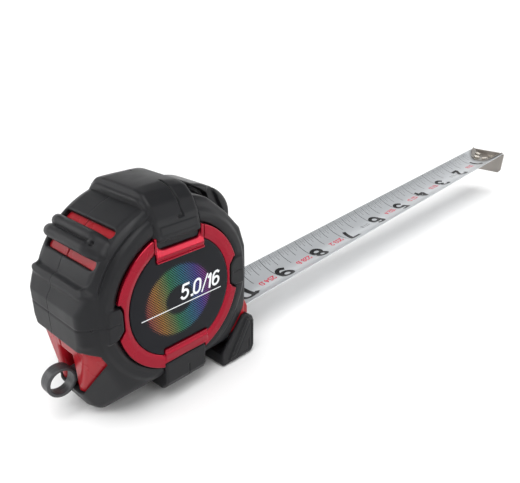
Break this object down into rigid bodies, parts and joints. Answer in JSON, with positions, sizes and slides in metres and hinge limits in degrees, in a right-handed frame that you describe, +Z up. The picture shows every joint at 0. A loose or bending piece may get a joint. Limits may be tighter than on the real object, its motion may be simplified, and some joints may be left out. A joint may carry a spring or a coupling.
{
  "type": "tape measure",
  "caption": "Pocket tape measure with a cambered steel blade drawn out of a round rubber-armoured case, an end hook, a thumb lock and a strap ring.",
  "frame": {"origin": "on the base plane that the feet stand on, straight below the reel axis, in the centre plane of the case", "axes": "+X along the drawn-out blade towards the hook, +Z up, right-hand face on -Y"},
  "size_m": [0.3393, 0.0458, 0.0745],
  "materials": {
    "red_shell": "glossy moulded red",
    "elastomer": "satin fine-textured black elastomer",
    "strap_rubber": "satin smooth black elastomer",
    "red_metallic": "satin metallic red paint on plastic",
    "badge": "near-black printed film with a fine dotted rainbow patch",
    "zinc": "die-cast zinc",
    "dark_plastic": "matt low-friction plastic",
    "nickel": "bright nickel",
    "clip_steel": "brushed spring steel",
    "screw_steel": "zinc-plated steel",
    "white_plastic": "natural white acetal",
    "spring_steel": "blued spring steel",
    "blade_coat": "matt silver-grey coating with black and red scale printing",
    "rivet_steel": "nickel-plated",
    "hook_steel": "nickel-plated, warm grey",
    "lever_plastic": "satin black",
    "ring_metal": "dark grey satin coating"
  },
  "bodies": {
    "case": {"shell_right": "red_shell", "shell_left": "red_shell", "grip_right": "elastomer", "grip_left": "elastomer", "top_strap": "strap_rubber", "bottom_strap": "strap_rubber", "front_toe": "elastomer", "rear_rib": "elastomer", "face_ring_right": "red_metallic", "face_ring_left": "red_metallic", "face_label_right": "badge", "face_label_left": "badge", "centre_post": "zinc", "mouth_guide": "dark_plastic", "mouth_bumper": "elastomer", "lever_track": "nickel", "belt_clip": "clip_steel", "clip_screw": "screw_steel", "case_screws": "screw_steel", "eyelet_pin": "screw_steel"},
    "reel": {"reel_drum": "white_plastic", "reel_cover": "white_plastic", "mainspring": "spring_steel", "blade_roll": "blade_coat"},
    "blade": {"blade": "blade_coat", "hook_rivets": "rivet_steel"},
    "hook": {"end_hook": "hook_steel"},
    "lever": {"lock_lever": "lever_plastic", "brake_arm": "red_shell", "brake_pad": "elastomer"},
    "strap_ring": {"strap_eyelet": "ring_metal"}
  },
  "joints": [
    {"name": "blade_slide", "type": "slide", "parent": "case", "child": "blade", "axis": [0.9986, 0, 0.0532], "range_m": [-0.2597, 0], "deforming": ["blade"]},
    {"name": "reel_spin", "type": "hinge", "parent": "case", "child": "reel", "pos_m": [0, 0, 0.0376], "axis": [0, 1, 0], "range_deg": [0, 620]},
    {"name": "hook_float", "type": "slide", "parent": "blade", "child": "hook", "axis": [0.9986, 0, 0.0532], "range_m": [0, 0.0011]},
    {"name": "lock_slide", "type": "hinge", "parent": "case", "child": "lever", "pos_m": [0, 0, 0.0376], "axis": [0, 1, 0], "range_deg": [-9, 0]},
    {"name": "eyelet_swing", "type": "hinge", "parent": "case", "child": "strap_ring", "pos_m": [-0.0292, 0, 0.0146], "axis": [0, 1, 0], "range_deg": [0, 28]}
  ],
  "couplings": [
    {"joint": "reel_spin", "follows": "blade_slide", "rad_per_m": -40.65}
  ]
}
